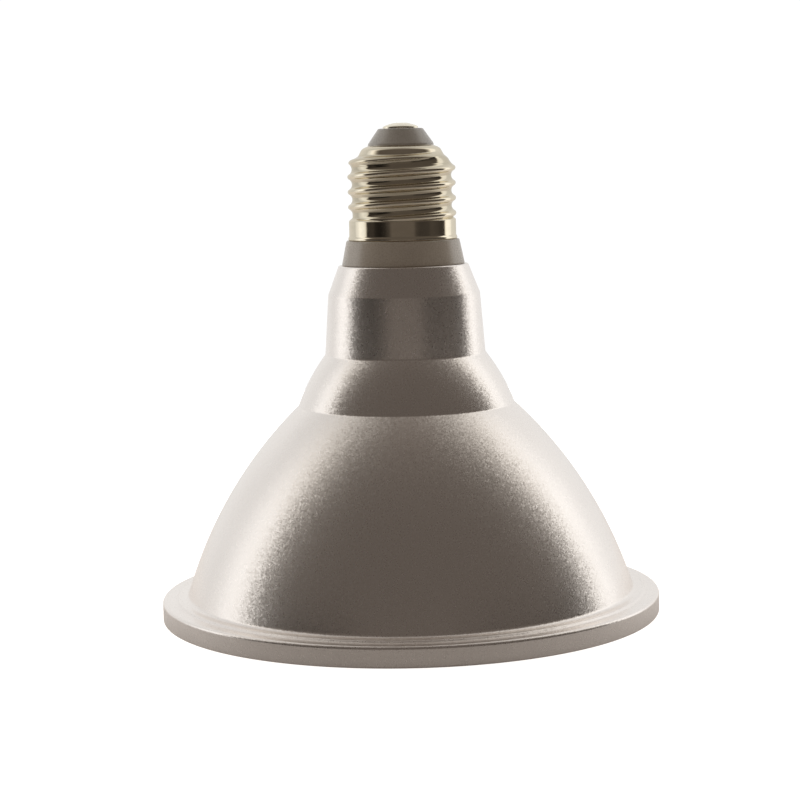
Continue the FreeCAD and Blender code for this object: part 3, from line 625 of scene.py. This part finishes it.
def shell_radius(angle, height):
    """The shell's outer radius at an angle round it and a height, in millimetres."""
    threaded = dome_radius(height) + thread_height(angle, height)
    skirt = SKIRT_RADIUS - (SKIRT_RADIUS - THREAD_ROOT) * fade(height - SKIRT_TOP, *SKIRT_FALLS)
    joined = soft_most(threaded, skirt, SKIRT_SOFTNESS)
    body = np.where(height < SKIRT_TOP + SKIRT_REACH, joined, threaded)
    lip = LIP * (1 - fade(height - COLLAR_TOP, *LIP_HEIGHTS))
    curl = CURL * (1 - fade(height - COLLAR_TOP, *CURL_HEIGHTS))
    return body + lip - curl


def make_screw_shell():
    lip_end = COLLAR_TOP + LIP_SPAN
    levels = np.concatenate([
        np.linspace(COLLAR_TOP, lip_end, LIP_ROWS, endpoint=False),
        np.linspace(lip_end, THREAD_START, SKIRT_ROWS, endpoint=False),
        np.linspace(THREAD_START, MOUTH_HEIGHT, THREAD_ROWS),
    ])
    angles = np.arange(AROUND) * math.tau / AROUND
    angle, height = np.meshgrid(angles, levels)
    grid = shell_radius(angle, height)
    small = 1e-4
    rise = shell_radius(angle, height + small) - shell_radius(angle, height - small)
    drift = shell_radius(angle + small, height) - shell_radius(angle - small, height)
    inner = np.minimum(grid - SHEET, THREAD_ROOT - SHEET)
    inner[levels < THREAD_START] = SKIRT_RADIUS - SHEET
    vertices, normals = [], []
    parts = (grid, angle, height, rise / (2 * small), drift / (2 * small))
    for r, a, z, slope, lean in zip(*(part.ravel() for part in parts)):
        c, s = math.cos(a), math.sin(a)
        vertices.append((r * c * MM, r * s * MM, z * MM))
        normals.append(Vector((r * c + lean * s, r * s - lean * c, -r * slope)).normalized())
    rows = len(levels)
    for row in range(rows - 1, -1, -INSIDE_STEP):
        for r, a in zip(inner[row], angles):
            vertices.append((r * math.cos(a) * MM, r * math.sin(a) * MM, levels[row] * MM))
            normals.append(Vector((-math.cos(a), -math.sin(a), 0)))
        rows += 1
    faces = []
    for row in range(rows):
        here, there = row * AROUND, (row + 1) % rows * AROUND
        for number in range(AROUND):
            following = (number + 1) % AROUND
            faces.append((here + number, here + following, there + following, there + number))
    shell = make_object("thread_shell", vertices, faces, normals)
    dress(shell.data, bright_nickel())
    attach(shell, "root")
    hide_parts("screw_shell")


# Collar: the coned plastic ring, with its sleeve down the neck and its tenon up the screw shell
SLEEVE_RADIUS = 13.8
SLEEVE_BORE = 12.85
CONE_FOOT_RADIUS = 14.95
CONE_TOP_RADIUS = 13.72
SPIGOT_RADIUS = 12.5
SPIGOT_HEIGHT = 4.4
TENON_RADIUS = 11.55
TENON_BORE = 10.15
TENON_TOP = 108.95
# How far over the housing's top the sleeve's bore starts to draw in to the tenon's
BORE_RISE = 3.0


def make_collar():
    collar = lathe("collar", [
        (SLEEVE_BORE, PLATE_SEAT, 0.1),
        (SLEEVE_RADIUS, PLATE_SEAT, 0.1),
        (SLEEVE_RADIUS, HOUSING_TOP, 0.1),
        (CONE_FOOT_RADIUS, HOUSING_TOP, 0.3),
        (CONE_TOP_RADIUS, COLLAR_TOP, 0.35),
        (SPIGOT_RADIUS, COLLAR_TOP, 0.1),
        (SPIGOT_RADIUS, COLLAR_TOP + SPIGOT_HEIGHT, 0.3),
        (TENON_RADIUS, COLLAR_TOP + SPIGOT_HEIGHT, 0.2),
        (TENON_RADIUS, TENON_TOP, 0.2),
        (TENON_BORE, TENON_TOP, 0.2),
        (TENON_BORE, COLLAR_TOP, 0.5),
        (SLEEVE_BORE, HOUSING_TOP + BORE_RISE, 0.5),
    ])
    grey = moulded_plastic(
        "collar_plastic", (0.69, 0.615, 0.515), (0.75, 0.67, 0.565), rough=0.28, ior=1.75
    )
    dress(collar.data, grey)
    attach(collar, "root")
    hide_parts("driver_cup")


# Insulator: the coned plug that stands out of the shell's mouth, with a seat for the contact
PLUG_HOLE = 1.2
PLUG_FLANGE = 11.4
PLUG_FLANGE_THICKNESS = 0.9
PLUG_NECK = 7.95
# Heights over its foot between which the plug is as wide as its neck
NECK_START, NECK_END = 4.6, 5.5
PLUG_TIP = 5.4
PLUG_SEAT = 4.4
SEAT_DEPTH = 0.3
# How much higher the plug stands than the solid that it replaces
PLUG_RAISE = 0.05


def make_plug():
    top = PLUG_TOP + PLUG_RAISE
    plug = lathe("tip_plug", [
        (PLUG_HOLE, PLUG_FOOT, 0.1),
        (PLUG_FLANGE, PLUG_FOOT, 0.2),
        (PLUG_FLANGE, PLUG_FOOT + PLUG_FLANGE_THICKNESS, 0.2),
        (PLUG_NECK, PLUG_FOOT + NECK_START, 0.3),
        (PLUG_NECK, PLUG_FOOT + NECK_END, 0.45),
        (PLUG_TIP, top, 0.5),
        (PLUG_SEAT, top, 0.12),
        (PLUG_SEAT, top - SEAT_DEPTH, 0.05),
        (PLUG_HOLE, top - SEAT_DEPTH, 0.05),
    ])
    grey = moulded_plastic(
        "tip_plastic", (0.71, 0.67, 0.60), (0.77, 0.725, 0.65), rough=0.28, ior=1.75
    )
    dress(plug.data, grey)
    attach(plug, "root")
    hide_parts("cap_insulator")


# Centre contact: a pressed brass button with a rolled rim, on a stem
STEM_RADIUS = 1.1
BUTTON_RADIUS = 4.3
BUTTON_RIM = 0.8
# The crown's shoulder, how far it lies under the top, and the radius of the flat on the top
CROWN_SHOULDER, CROWN_DROP = 3.4, 0.5
CROWN_RADIUS = 1.6
CONTACT_AROUND = 144


def make_contact():
    seat = PLUG_TOP - SEAT_DEPTH
    contact = lathe("tip_contact", [
        (0.0, CONTACT_FOOT),
        (STEM_RADIUS, CONTACT_FOOT, 0.1),
        (STEM_RADIUS, seat, 0.05),
        (BUTTON_RADIUS, seat, 0.05),
        (BUTTON_RADIUS, seat + BUTTON_RIM, 0.3),
        (CROWN_SHOULDER, CONTACT_TOP - CROWN_DROP, 0.8),
        (CROWN_RADIUS, CONTACT_TOP, 3.0),
        (0.0, CONTACT_TOP),
    ], around=CONTACT_AROUND)
    dress(contact.data, plain_metal("contact_brass", (0.93, 0.86, 0.70), (0.98, 0.92, 0.77), 0.26))
    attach(contact, "root")
    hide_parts("centre_contact")


# Front glass: a thick disc with ground edges, a hair clear of its seal
GLASS_GAP = 0.04
GLASS_EDGE = 0.5
GLASS_AROUND = 192


def make_glass():
    radius, high = LENS_RADIUS - GLASS_GAP, LENS_HIGH - GLASS_GAP
    glass = lathe("glass", [
        (0.0, LENS_LOW),
        (radius, LENS_LOW, GLASS_EDGE),
        (radius, high, GLASS_EDGE),
        (0.0, high),
    ], around=GLASS_AROUND)
    dress(glass.data, clear_glass())
    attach(glass, "root")
    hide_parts("front_lens")


# Emitters: white packages in two rings, each with a round phosphor window in a raised rim
EMITTER_SIDE = 3.0
EMITTER_BEVEL = 0.1
# Radius of each ring on the board, and how many emitters it has
EMITTER_RINGS = ((7.5, 6), (12.5, 12))
EMITTER_AROUND = 32
# Radii of the window and of the raised rim round it
WINDOW_RADIUS, WINDOW_BACK_RADIUS = 1.15, 1.22
RIM_INSIDE, RIM_CREST, RIM_OUTSIDE = 1.2, 1.38, 1.45
# Depths behind the rim's crest
RIM_INSIDE_DEPTH, WINDOW_DEPTH, RIM_OUTSIDE_DEPTH = 0.05, 0.06, 0.08
PACKAGE_DEPTH, RIM_BACK, WINDOW_BACK = 0.12, 0.25, 0.35


def make_emitters():
    window = rounded_outline([
        (0.0, EMITTER_FACE + WINDOW_DEPTH),
        (WINDOW_RADIUS, EMITTER_FACE + WINDOW_DEPTH, 0.04),
        (WINDOW_BACK_RADIUS, EMITTER_FACE + WINDOW_BACK),
        (0.0, EMITTER_FACE + WINDOW_BACK),
    ])
    rim = rounded_outline([
        (RIM_INSIDE, EMITTER_FACE + RIM_INSIDE_DEPTH, 0.03),
        (RIM_CREST, EMITTER_FACE, 0.04),
        (RIM_OUTSIDE, EMITTER_FACE + RIM_OUTSIDE_DEPTH, 0.03),
        (RIM_OUTSIDE, EMITTER_FACE + RIM_BACK, 0.02),
        (RIM_INSIDE, EMITTER_FACE + RIM_BACK, 0.02),
    ])
    half = EMITTER_SIDE / 2
    low = (-half * MM, -half * MM, (EMITTER_FACE + PACKAGE_DEPTH) * MM)
    high = (half * MM, half * MM, BOARD_FACE * MM)
    package = box_solid(low, high, EMITTER_BEVEL * MM)
    rim, window = (turned_solid(*outline, around=EMITTER_AROUND)[:2] for outline in (rim, window))
    packages, windows = [], []
    for radius, count in EMITTER_RINGS:
        for number in range(count):
            turn = Matrix.Rotation(math.tau * number / count, 4, "Z")
            place = turn @ Matrix.Translation((radius * MM, 0, 0))
            packages += [place_solid(package, place), place_solid(rim, place)]
            windows.append(place_solid(window, place))
    packages = make_object("emitter_packages", *join_solids(packages))
    windows = make_object("emitter_windows", *join_solids(windows))
    white = moulded_plastic("emitter_white", (0.78, 0.77, 0.74), (0.84, 0.83, 0.81), rough=0.5)
    phosphor = moulded_plastic(
        "emitter_phosphor", (0.80, 0.55, 0.08), (0.88, 0.66, 0.16), rough=0.35, grain=0.00012
    )
    for piece, material in ((packages, white), (windows, phosphor)):
        dress(piece.data, material)
        piece.data.polygons.foreach_set("use_smooth", [False] * len(piece.data.polygons))
        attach(piece, "root")
    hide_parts("led_chips")


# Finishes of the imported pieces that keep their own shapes: a name, the darkest and the lightest
# colour, and the roughness
PLASTICS = {
    "lens_seal": ("seal_rubber", (0.55, 0.54, 0.52), (0.62, 0.61, 0.59), 0.6),
    "thermal_pad": ("pad_rubber", (0.35, 0.40, 0.45), (0.42, 0.47, 0.52), 0.7),
    "led_board": ("board_white", (0.74, 0.74, 0.72), (0.80, 0.80, 0.78), 0.4),
    "lead_grommet": ("grommet_rubber", (0.60, 0.59, 0.56), (0.66, 0.65, 0.62), 0.6),
    "driver_board": ("board_green", (0.02, 0.13, 0.05), (0.03, 0.17, 0.07), 0.35),
    "transformer_core": ("ferrite", (0.05, 0.05, 0.05), (0.08, 0.08, 0.08), 0.6),
    "transformer_winding": ("coil_tape", (0.60, 0.48, 0.08), (0.70, 0.56, 0.12), 0.4),
    "output_capacitor": ("capacitor_sleeve", (0.02, 0.02, 0.03), (0.04, 0.04, 0.05), 0.3),
    "film_capacitor": ("film_box", (0.45, 0.12, 0.04), (0.55, 0.16, 0.06), 0.35),
    "filter_choke": ("choke_ferrite", (0.05, 0.05, 0.05), (0.08, 0.08, 0.08), 0.55),
    "bridge_rectifier": ("chip_black", (0.02, 0.02, 0.02), (0.035, 0.035, 0.035), 0.5),
    "fuse_resistor": ("resistor_body", (0.10, 0.22, 0.32), (0.14, 0.28, 0.40), 0.5),
    "contact_lead": ("lead_red", (0.45, 0.03, 0.02), (0.55, 0.05, 0.03), 0.4),
    "shell_lead": ("lead_blue", (0.03, 0.06, 0.35), (0.05, 0.09, 0.42), 0.4),
    "light_leads": ("lead_white", (0.65, 0.64, 0.62), (0.74, 0.73, 0.71), 0.4),
}
METALS = {
    "led_carrier": ("plate_aluminium", (0.70, 0.70, 0.70), (0.78, 0.78, 0.77), 0.35),
    "board_screws": ("screw_steel", (0.60, 0.60, 0.60), (0.70, 0.69, 0.67), 0.25),
}


def finish_packed_pieces():
    finishes = {name: moulded_plastic(*look) for name, look in PLASTICS.items()}
    finishes.update((name, plain_metal(*look)) for name, look in METALS.items())
    finishes["driver_chip"] = finishes["bridge_rectifier"]
    finishes["reflector"] = mirror_film()
    for name, material in finishes.items():
        dress(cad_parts[name].data, material)


# Stage: a pale floor, which is only a floor from above
FLOOR_REACH = 0.5
FLOOR_COLOUR = (0.70, 0.66, 0.63)
GLOW_COLOUR = (1.0, 0.97, 0.94)
# Glow that only the camera sees, and glow that lights the lamp from behind, with the places
# from front to back over which that comes up
FLOOR_GLOW = 0.95
BACKLIGHT = 0.55
BACKLIGHT_PLACES = (-0.08, 0.08)


def make_floor():
    corners = [
        (x * FLOOR_REACH, y * FLOOR_REACH, 0) for x, y in ((-1, -1), (1, -1), (1, 1), (-1, 1))
    ]
    floor = make_object("floor", corners, [(0, 1, 2, 3)])
    material = bpy.data.materials.new("pale_floor")
    material.use_nodes = True
    nodes = Nodes(material.node_tree)
    nodes.tree.nodes.clear()
    diffuse = nodes.add("ShaderNodeBsdfDiffuse")
    nodes.set(diffuse, "Color", FLOOR_COLOUR)
    seen = nodes.add("ShaderNodeLightPath").outputs["Is Camera Ray"]
    back = nodes.axes(nodes.add("ShaderNodeTexCoord").outputs["Object"])["Y"]
    backlight = nodes.spread(back, 0.0, BACKLIGHT, *BACKLIGHT_PLACES)
    glow = nodes.add("ShaderNodeEmission")
    nodes.set_all(glow, {
        "Color": GLOW_COLOUR,
        "Strength": nodes.math("ADD", nodes.math("MULTIPLY", seen, FLOOR_GLOW), backlight),
    })
    upper = nodes.add("ShaderNodeAddShader")
    nodes.set_all(upper, {0: diffuse.outputs[0], 1: glow.outputs[0]})
    lower = nodes.add("ShaderNodeBsdfTransparent")
    from_below = nodes.add("ShaderNodeNewGeometry").outputs["Backfacing"]
    whole = nodes.add("ShaderNodeMixShader")
    nodes.set_all(whole, {0: from_below, 1: upper.outputs[0], 2: lower.outputs[0]})
    nodes.set(nodes.add("ShaderNodeOutputMaterial"), "Surface", whole.outputs[0])
    dress(floor.data, material)


# Studio: a white sweep behind and at both sides, a dark room in front, and a dim ceiling.
# Every ramp is a row of pairs, a place and the level of light there. A place is a height (the
# sine of the angle over the horizon), or on the level a share of the way to the right, or from
# the front (-1) to the back (1).
METAL_TINT = (1.0, 0.995, 0.985)
EDGE_TINT = (1.0, 0.945, 0.86)
ROOM_TINT = (1.0, 0.845, 0.735)
NO_TINT = (1.0, 1.0, 1.0)
BACKDROP = (1.05, 1.05, 1.05)
# The sweep's light from front to back, and how it fails with height
SWEEP_LEFT = (
    (-0.1, 0.90), (0.08, 1.14), (0.24, 1.22), (0.42, 0.96),
    (0.57, 0.71), (0.72, 0.77), (0.86, 0.84), (1.0, 0.88),
)
SWEEP_RIGHT = (
    (-0.1, 0.95), (0.15, 1.16), (0.36, 1.26), (0.55, 1.20),
    (0.66, 0.88), (0.76, 0.86), (0.88, 0.85), (1.0, 0.84),
)
SWEEP_HEIGHTS = (
    (-1.0, 1.0), (0.4, 1.0), (0.59, 0.93), (0.74, 0.80),
    (0.81, 0.70), (0.87, 0.58), (0.95, 0.40), (1.0, 0.18),
)
# The room's light from front to back near the horizon, and up to the ceiling
LOW_ROOM_LEFT = (
    (-1.0, 0.12), (-0.93, 0.125), (-0.86, 0.055), (-0.78, 0.026),
    (-0.66, 0.0135), (-0.52, 0.02), (-0.4, 0.043), (0.0, 0.035),
)
LOW_ROOM_RIGHT = (
    (-1.0, 0.12), (-0.93, 0.12), (-0.86, 0.06), (-0.78, 0.047),
    (-0.58, 0.05), (-0.42, 0.068), (-0.2, 0.06), (0.0, 0.045),
)
HIGH_ROOM = ((0.75, 0.105), (0.91, 0.11), (0.95, 0.13), (0.98, 0.15), (1.0, 0.16))
# The light from under the horizon, from left to right
BELOW = ((-1.0, 1.1), (-0.3, 1.1), (-0.1, 0.5), (0.2, 0.35), (1.0, 0.8))
# Heights, each with how far back the sweep's edge lies there. A ramp holds nothing below zero,
# so the second of each pair is larger by the shift than what it stands for.
EDGE_SHIFT = 0.2
EDGE_LEFT = (
    (0.02, 0.10), (0.12, 0.16), (0.25, 0.25), (0.4, 0.23),
    (0.6, 0.235), (0.72, 0.20), (0.85, 0.20), (0.95, 0.135),
)
EDGE_RIGHT = (
    (0.0, 0.43), (0.17, 0.51), (0.35, 0.475), (0.5, 0.445),
    (0.6, 0.41), (0.68, 0.355), (0.8, 0.35), (0.94, 0.19),
)
# The edge's softness, which grows by the gain with that power of the height
EDGE_SOFTNESS = 0.05
SOFTNESS_GAIN = 0.7
SOFTNESS_POWER = 4.0
# Where one light turns into the next. The first two are counted from the edge, in its softness.
DARK_TO_SWEEP = (-1.0, 1.0)
WARM_TO_WHITE = (-1.0, 3.0)
LEFT_TO_RIGHT = (-0.05, 0.05)
LOW_TO_HIGH = (0.15, 0.4)
BELOW_TO_AROUND = (-0.6, -0.3)
# A hair over one, so that a direction straight up still has a level part to divide by
OVER_ONE = 1.0001


class Studio(Nodes):
    """The world's light, made from ramps along directions."""

    def __init__(self):
        world = bpy.data.worlds.new("studio")
        bpy.context.scene.world = world
        world.use_nodes = True
        super().__init__(world.node_tree)

    def step(self, source, start, end):
        """From 0 at start to 1 at end, smoothly."""
        return self.spread(source, 0.0, 1.0, start, end, smooth=True)

    def ramp(self, source, tint, stops):
        """A light for each place along a source that runs from -1 to 1."""
        node = self.add("ShaderNodeValToRGB")
        node.color_ramp.interpolation = "EASE"
        elements = node.color_ramp.elements
        while len(elements) < len(stops):
            elements.new(0.5)
        for element, (place, level) in zip(elements, stops):
            element.position = (place + 1) / 2
            element.color = (*(level * part for part in tint), 1)
        self.set(node, "Fac", self.math("MULTIPLY_ADD", source, 0.5, 0.5))
        return node.outputs["Color"]


def make_studio():
    studio = Studio()
    across, along, height = studio.axes(studio.add("ShaderNodeTexCoord").outputs["Generated"])
    level = studio.math(
        "SQRT", studio.math("SUBTRACT", OVER_ONE, studio.math("MULTIPLY", height, height))
    )
    right = studio.math("DIVIDE", across, level)
    back = studio.math("DIVIDE", along, level)
    on_right = studio.step(right, *LEFT_TO_RIGHT)

    def two_sided(source, tint, left_stops, right_stops):
        """A ramp for the left and one for the right, joined in the middle."""
        sides = [studio.ramp(source, tint, stops) for stops in (left_stops, right_stops)]
        return studio.mix(on_right, *sides)

    # The edge between the dark room and the sweep
    edge = two_sided(height, NO_TINT, EDGE_LEFT, EDGE_RIGHT)
    high_up = studio.math("POWER", studio.math("MAXIMUM", height, 0.0), SOFTNESS_POWER)
    softness = studio.math("MULTIPLY_ADD", high_up, SOFTNESS_GAIN, EDGE_SOFTNESS)
    from_edge = studio.math("SUBTRACT", studio.math("ADD", back, EDGE_SHIFT), edge)
    past_edge = studio.math("DIVIDE", from_edge, softness)

    # The room, and the sweep with its warm edge
    low_room = two_sided(back, ROOM_TINT, LOW_ROOM_LEFT, LOW_ROOM_RIGHT)
    high_room = studio.ramp(height, ROOM_TINT, HIGH_ROOM)
    room = studio.mix(studio.step(height, *LOW_TO_HIGH), low_room, high_room)
    white_sweep = two_sided(back, METAL_TINT, SWEEP_LEFT, SWEEP_RIGHT)
    warm_sweep = studio.mix(1.0, white_sweep, EDGE_TINT, "MULTIPLY")
    sweep = studio.mix(studio.step(past_edge, *WARM_TO_WHITE), warm_sweep, white_sweep)
    sweep_height = studio.ramp(height, NO_TINT, SWEEP_HEIGHTS)
    in_sweep = studio.math("MULTIPLY", studio.step(past_edge, *DARK_TO_SWEEP), sweep_height)

    around = studio.mix(in_sweep, room, sweep)
    below = studio.ramp(across, NO_TINT, BELOW)
    whole = studio.mix(studio.step(height, *BELOW_TO_AROUND), below, around)
    seen = studio.add("ShaderNodeLightPath").outputs["Is Camera Ray"]
    background = studio.tree.nodes["Background"]
    studio.set(background, "Color", studio.mix(seen, whole, BACKDROP))


# Camera: the photograph's place and angle
IMAGE_SIDE = 800
FOCAL_PIXELS = 2085.1
CAMERA_DISTANCE = 507.2 * MM
CAMERA_HEIGHT = 111.15 * MM
PITCH = math.radians(6.635)
YAW = math.radians(-0.18)
ROLL = math.radians(-1.32)


def make_camera():
    data = bpy.data.cameras.new("camera")
    data.sensor_width = 36.0
    data.lens = FOCAL_PIXELS / IMAGE_SIDE * data.sensor_width
    data.clip_start, data.clip_end = 0.01, 50.0
    camera = bpy.data.objects.new("camera", data)
    level = math.cos(PITCH)
    forward = Vector((math.sin(YAW) * level, math.cos(YAW) * level, -math.sin(PITCH)))
    right = Vector((math.cos(YAW), -math.sin(YAW), 0))
    up = right.cross(forward)
    tilted_right = right * math.cos(ROLL) + up * math.sin(ROLL)
    tilted_up = up * math.cos(ROLL) - right * math.sin(ROLL)
    turn = Matrix((tilted_right, tilted_up, -forward)).transposed()
    camera.matrix_world = Matrix.Translation((0, -CAMERA_DISTANCE, CAMERA_HEIGHT)) @ turn.to_4x4()
    bpy.context.scene.collection.objects.link(camera)
    bpy.context.scene.camera = camera


make_housing()
make_screw_shell()
make_collar()
make_plug()
make_contact()
make_glass()
make_emitters()
finish_packed_pieces()
make_floor()
make_studio()
make_camera()
bpy.context.scene.view_settings.view_transform = "Standard"
